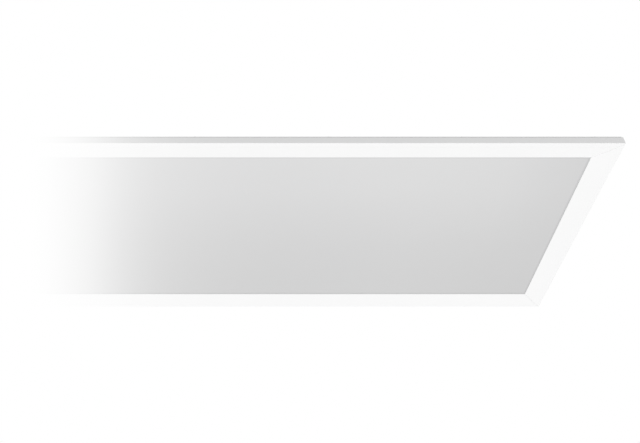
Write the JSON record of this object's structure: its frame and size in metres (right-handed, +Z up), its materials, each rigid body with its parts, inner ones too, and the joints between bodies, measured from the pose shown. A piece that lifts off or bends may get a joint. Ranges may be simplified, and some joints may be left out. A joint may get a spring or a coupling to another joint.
{
  "type": "led panel light",
  "caption": "Slim edge-lit rectangular ceiling light panel with a sloped white frame round an opal diffuser, and a driver with a hinged terminal cover on its back.",
  "frame": {"origin": "centre of the panel in the plane of the frame's lower rim, the face that rests on the ceiling grid", "axes": "+X along the length towards the output lead, +Y across the width, +Z up, away from the lit face and towards the driver"},
  "size_m": [1.195, 0.295, 0.0396],
  "materials": {
    "frame_powder_coat": "white powder coat with a fine orange peel",
    "key_zinc": "galvanised",
    "back_plate_coat": "silver-grey coil coating, semi-matt",
    "screw_zinc": "bright zinc plating",
    "opal_diffuser": "milky acrylic, satin",
    "clear_guide": "clear polished acrylic",
    "reflector_white": "white polyester film",
    "foam_white": "closed-cell foam",
    "silicone_grey": "translucent silicone",
    "tape_grey": "thermally conductive tape",
    "board_white": "white solder mask on aluminium",
    "led_phosphor": "phosphor in silicone, white housing",
    "core_red": "insulated single core",
    "core_black": "insulated single core",
    "core_white": "insulated single core",
    "clip_spring_steel": "zinc-plated spring steel",
    "bracket_zinc": "zinc-plated sheet",
    "rivet_aluminium": "bright",
    "driver_case_white": "fine spark-eroded texture",
    "pin_steel": "polished",
    "bush_grey": "moulded nylon",
    "terminal_grey": "moulded nylon",
    "button_orange": "moulded",
    "selector_red": "moulded",
    "lever_white": "moulded",
    "clamp_grey": "moulded nylon",
    "circuit_board_green": "solder mask on glass laminate",
    "ferrite": "sintered",
    "winding_tape": "copper winding under polyester tape",
    "capacitor_sleeve": "heat-shrink sleeve on an aluminium can",
    "film_capacitor_box": "moulded box",
    "choke_copper": "enamelled copper on a ferrite ring",
    "heat_sink_aluminium": "mill finish",
    "transistor_epoxy": "epoxy",
    "fuse_glass": "glass tube with metal caps",
    "lead_jacket": "white jacket",
    "connector_white": "moulded nylon",
    "grommet_black": "moulded rubber",
    "stud_copper_steel": "copper-flashed weld stud",
    "nut_zinc": "bright zinc plating",
    "earth_green_yellow": "green and yellow insulation, tinned ring"
  },
  "bodies": {
    "panel": {"back_plate": "back_plate_coat", "back_plate_screws": "screw_zinc", "board_link_core": "core_white", "cable_clamp_bar": "clamp_grey", "cable_clamp_screws": "screw_zinc", "clip_pivot_rivets": "rivet_aluminium", "corner_keys": "key_zinc", "cover_hinge_pin": "pin_steel", "diffuser_sheet": "opal_diffuser", "driver_board": "circuit_board_green", "driver_board_screws": "screw_zinc", "driver_lid": "driver_case_white", "driver_lid_screws": "screw_zinc", "driver_tray": "driver_case_white", "earth_lead": "earth_green_yellow", "electrolytic_capacitors": "capacitor_sleeve", "film_capacitor": "film_capacitor_box", "foam_pad": "foam_white", "frame_profile_front": "frame_powder_coat", "frame_profile_left": "frame_powder_coat", "frame_profile_rear": "frame_powder_coat", "frame_profile_right": "frame_powder_coat", "guide_plate_cushions": "silicone_grey", "heat_sink": "heat_sink_aluminium", "inline_plug": "connector_white", "inline_socket": "connector_white", "lead_grommet": "grommet_black", "led_packages_front": "led_phosphor", "led_packages_rear": "led_phosphor", "light_board_front": "board_white", "light_board_rear": "board_white", "light_guide_plate": "clear_guide", "line_choke": "choke_copper", "line_fuse": "fuse_glass", "mains_entry_bush": "bush_grey", "mains_terminal_block": "terminal_grey", "output_lead": "lead_jacket", "panel_lead": "lead_jacket", "power_transistor": "transistor_epoxy", "reflector_sheet": "reflector_white", "selector_switch_body": "selector_red", "stud_nuts": "nut_zinc", "supply_core_negative": "core_black", "supply_core_positive": "core_red", "suspension_brackets": "bracket_zinc", "thermal_tapes": "tape_grey", "transformer_core": "ferrite", "transformer_winding": "winding_tape", "weld_studs": "stud_copper_steel"},
    "cover": {"terminal_cover": "driver_case_white"},
    "clip_front_left": {"swivel_clip_front_left": "clip_spring_steel"},
    "clip_front_right": {"swivel_clip_front_right": "clip_spring_steel"},
    "clip_rear_left": {"swivel_clip_rear_left": "clip_spring_steel"},
    "clip_rear_right": {"swivel_clip_rear_right": "clip_spring_steel"},
    "button_live": {"release_button_live": "button_orange"},
    "button_neutral": {"release_button_neutral": "button_orange"},
    "button_earth": {"release_button_earth": "button_orange"},
    "lever_1": {"selector_lever_1": "lever_white"},
    "lever_2": {"selector_lever_2": "lever_white"},
    "lever_3": {"selector_lever_3": "lever_white"}
  },
  "joints": [
    {"name": "terminal_cover_hinge", "type": "hinge", "parent": "panel", "child": "cover", "pos_m": [-0.053, 0, 0.0365], "axis": [0, 1, 0], "range_deg": [0, 105]},
    {"name": "clip_front_left_swivel", "type": "hinge", "parent": "panel", "child": "clip_front_left", "pos_m": [-0.56, -0.11, 0.0097], "axis": [0, 0, -1], "range_deg": [0, 90]},
    {"name": "clip_front_right_swivel", "type": "hinge", "parent": "panel", "child": "clip_front_right", "pos_m": [0.56, -0.11, 0.0097], "axis": [0, 0, 1], "range_deg": [0, 90]},
    {"name": "clip_rear_left_swivel", "type": "hinge", "parent": "panel", "child": "clip_rear_left", "pos_m": [-0.56, 0.11, 0.0097], "axis": [0, 0, 1], "range_deg": [0, 90]},
    {"name": "clip_rear_right_swivel", "type": "hinge", "parent": "panel", "child": "clip_rear_right", "pos_m": [0.56, 0.11, 0.0097], "axis": [0, 0, -1], "range_deg": [0, 90]},
    {"name": "release_button_live_press", "type": "slide", "parent": "panel", "child": "button_live", "axis": [0, 0, -1], "range_m": [0, 0.0015], "stiffness_N_per_m": 120, "springref_m": -0.002},
    {"name": "release_button_neutral_press", "type": "slide", "parent": "panel", "child": "button_neutral", "axis": [0, 0, -1], "range_m": [0, 0.0015], "stiffness_N_per_m": 120, "springref_m": -0.002},
    {"name": "release_button_earth_press", "type": "slide", "parent": "panel", "child": "button_earth", "axis": [0, 0, -1], "range_m": [0, 0.0015], "stiffness_N_per_m": 120, "springref_m": -0.002},
    {"name": "selector_lever_1_slide", "type": "slide", "parent": "panel", "child": "lever_1", "axis": [1, 0, 0], "range_m": [0, 0.0016]},
    {"name": "selector_lever_2_slide", "type": "slide", "parent": "panel", "child": "lever_2", "axis": [1, 0, 0], "range_m": [0, 0.0016]},
    {"name": "selector_lever_3_slide", "type": "slide", "parent": "panel", "child": "lever_3", "axis": [1, 0, 0], "range_m": [0, 0.0016]}
  ]
}
